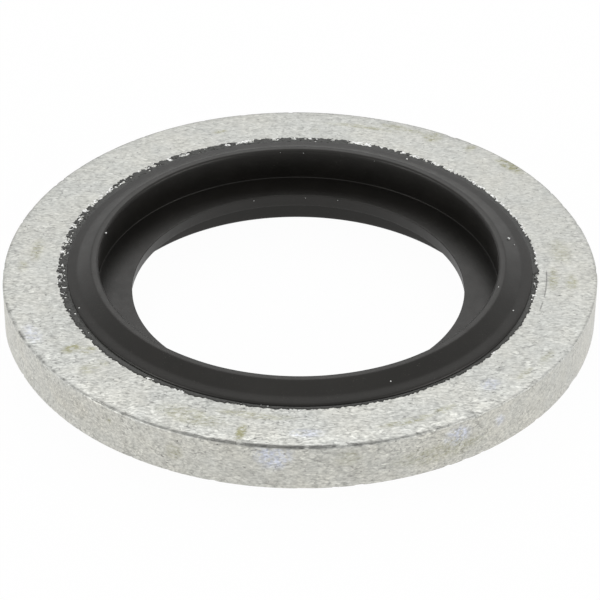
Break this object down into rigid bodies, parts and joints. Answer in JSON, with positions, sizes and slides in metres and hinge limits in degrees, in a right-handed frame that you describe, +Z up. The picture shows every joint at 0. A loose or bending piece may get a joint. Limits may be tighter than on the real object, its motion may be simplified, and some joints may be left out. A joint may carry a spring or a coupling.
{
  "type": "bonded sealing washer",
  "caption": "Flat metal ring with a black rubber sealing lip moulded round its bore and a thin rubber web across the hole that centres it on a thread.",
  "frame": {"origin": "on the ring's axis, in the plane that the lower rubber lip's crest rests on", "axes": "+Z up along the ring's axis, out of the face with the rolled-over edge; X and Y lie across the ring"},
  "size_m": [0.022, 0.022, 0.0033],
  "materials": {
    "plated_steel": "dull zinc plating, mottled and lightly stained",
    "black_rubber": "satin moulded nitrile rubber"
  },
  "bodies": {
    "root": {"steel_ring": "plated_steel", "rubber_seal": "black_rubber"}
  },
  "joints": []
}
